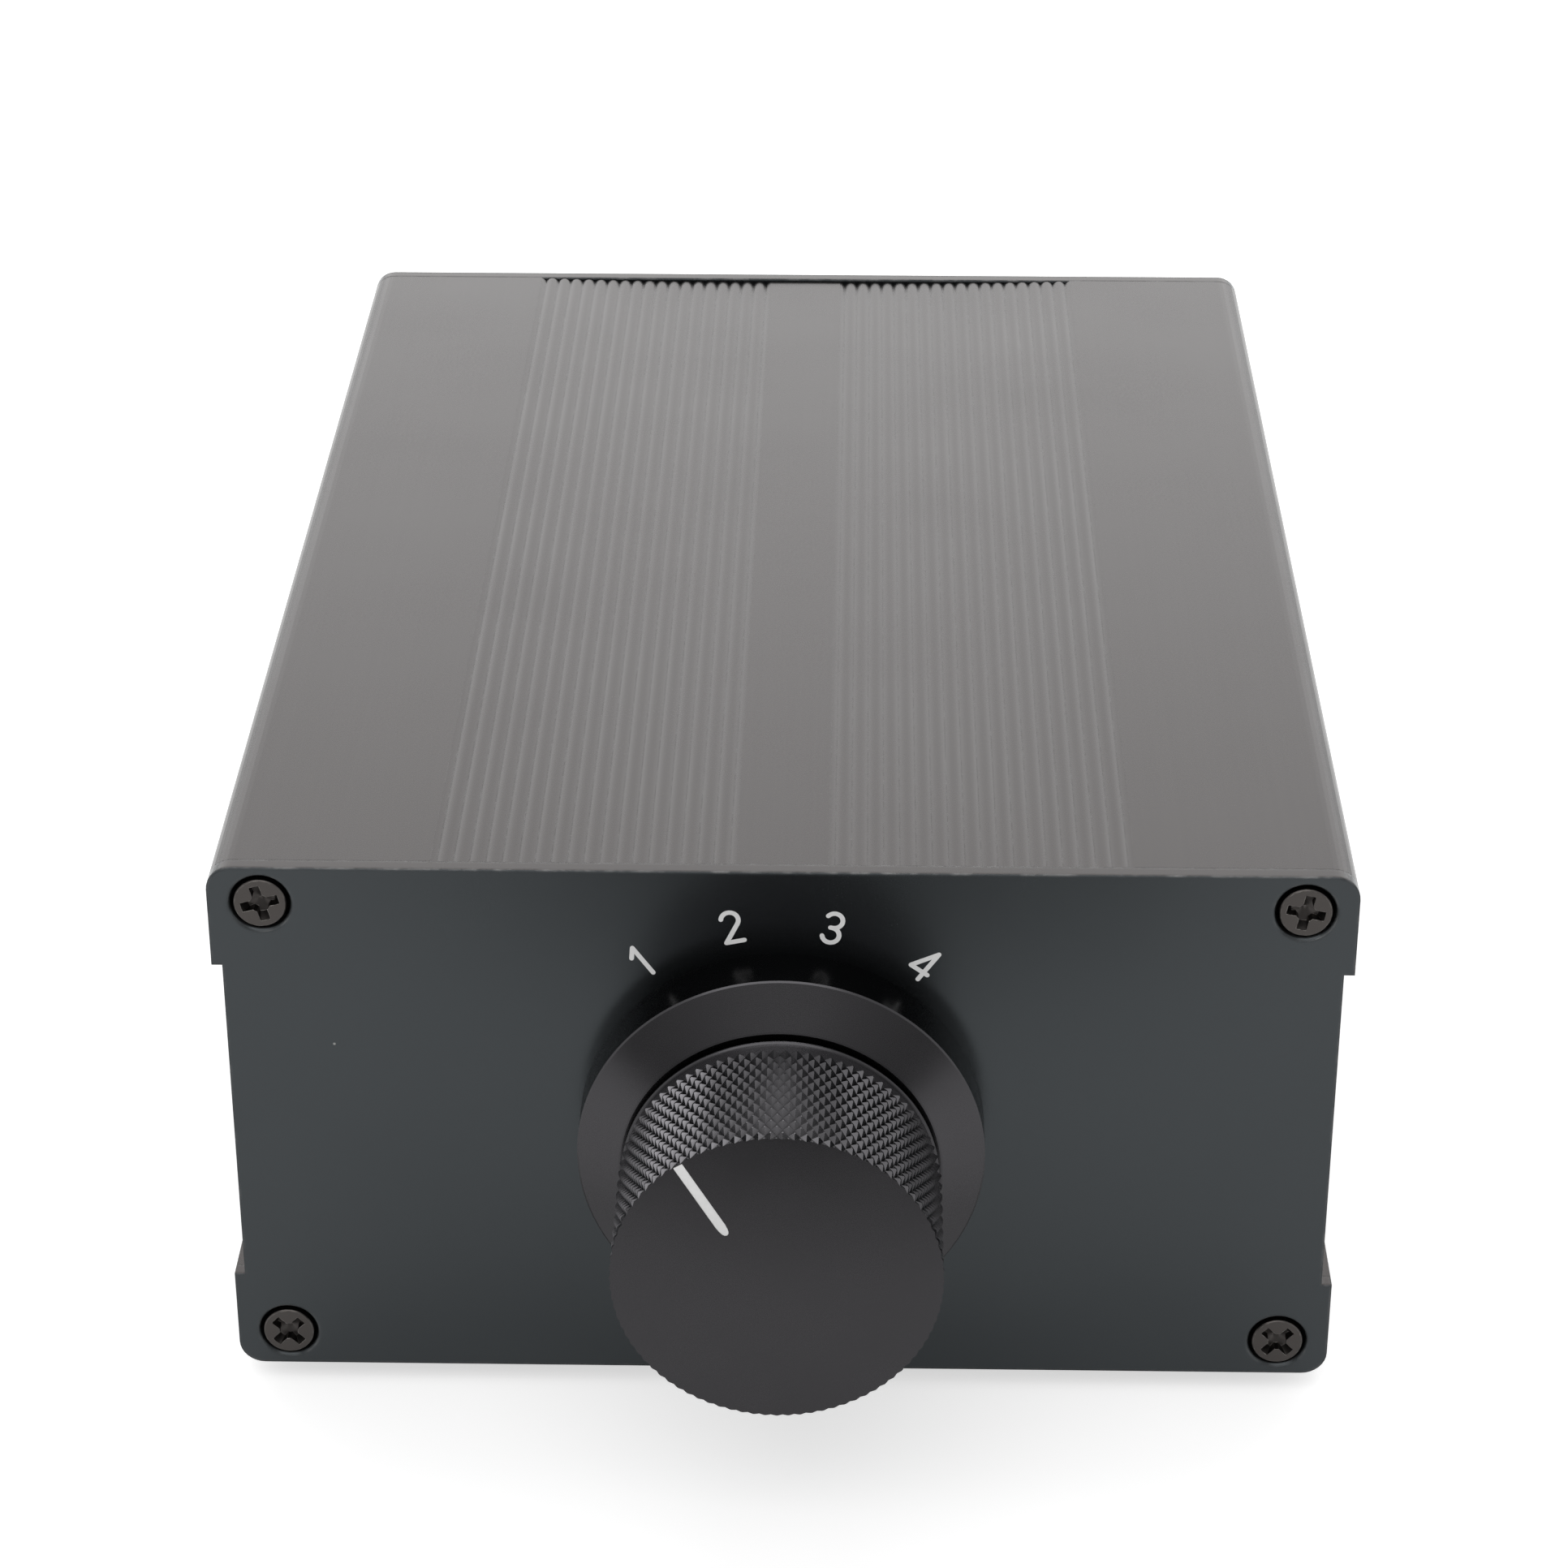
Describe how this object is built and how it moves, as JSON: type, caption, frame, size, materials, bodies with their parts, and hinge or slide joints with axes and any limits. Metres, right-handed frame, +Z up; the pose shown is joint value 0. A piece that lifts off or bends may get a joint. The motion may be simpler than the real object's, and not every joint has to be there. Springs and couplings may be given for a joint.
{
  "type": "audio source selector",
  "caption": "Passive stereo source selector: a knurled knob turns a detented rotary switch in a split extruded case with phono sockets at the back.",
  "frame": {"origin": "middle of the base of the whole object's box, on the plane that the feet stand on", "axes": "+X to the right seen from the front, +Y from the front panel to the rear panel along the knob's axis, +Z up"},
  "size_m": [0.106, 0.1836, 0.058],
  "materials": {
    "shell": "matt black anodised extrusion",
    "panel": "matt black anodised sheet",
    "turned_black": "fine turned, black anodised",
    "screw_black": "black zinc",
    "rubber": "matt",
    "nickel": "nickel plated",
    "white_paint": "paint fill",
    "moulding_blue": "moulded",
    "moulding_black": "moulded",
    "moulding_white": "moulded",
    "moulding_red": "moulded",
    "laminate": "phenolic laminate",
    "board_green": "solder resist on glass laminate",
    "gold": "gold plated",
    "spring_bronze": "phosphor bronze strip",
    "steel": "bright",
    "ribbon_grey": "flat cable"
  },
  "bodies": {
    "case": {"upper_shell": "shell", "lower_shell": "shell", "front_panel": "panel", "rear_panel": "panel", "front_panel_screws": "screw_black", "rear_panel_screws": "screw_black", "rubber_feet": "rubber", "bezel_ring": "turned_black", "bushing_nut": "nickel", "lock_washer": "nickel", "switch_housing": "moulding_blue", "detent_ring": "steel", "stator_disc": "laminate", "stator_contacts": "gold", "switch_board": "board_green", "switch_header": "moulding_black", "switch_header_pins": "gold", "ribbon_cable": "ribbon_grey", "switch_plug": "moulding_black", "socket_plug": "moulding_black", "socket_board": "board_green", "socket_header": "moulding_black", "socket_header_pins": "gold", "red_collars": "moulding_red", "white_collars": "moulding_white", "socket_screws": "screw_black", "socket_block_1": "moulding_black", "socket_block_2": "moulding_black", "socket_block_3": "moulding_black", "socket_block_4": "moulding_black", "socket_block_5": "moulding_black", "socket_barrels_1": "gold", "socket_barrels_2": "gold", "socket_barrels_3": "gold", "socket_barrels_4": "gold", "socket_barrels_5": "gold", "socket_cores_1": "moulding_white", "socket_cores_2": "moulding_white", "socket_cores_3": "moulding_white", "socket_cores_4": "moulding_white", "socket_cores_5": "moulding_white", "socket_contacts_1": "gold", "socket_contacts_2": "gold", "socket_contacts_3": "gold", "socket_contacts_4": "gold", "socket_contacts_5": "gold"},
    "selector": {"knob": "turned_black", "knob_pointer": "white_paint", "knob_set_screw": "screw_black", "switch_shaft": "nickel", "shaft_clip": "steel", "switch_rotor": "moulding_white", "rotor_wipers": "spring_bronze", "detent_balls": "steel", "detent_springs": "steel"}
  },
  "joints": [
    {"name": "selector_turn", "type": "hinge", "parent": "case", "child": "selector", "pos_m": [0, -0.0667, 0.03025], "axis": [0, 1, 0], "range_deg": [0, 72]}
  ]
}
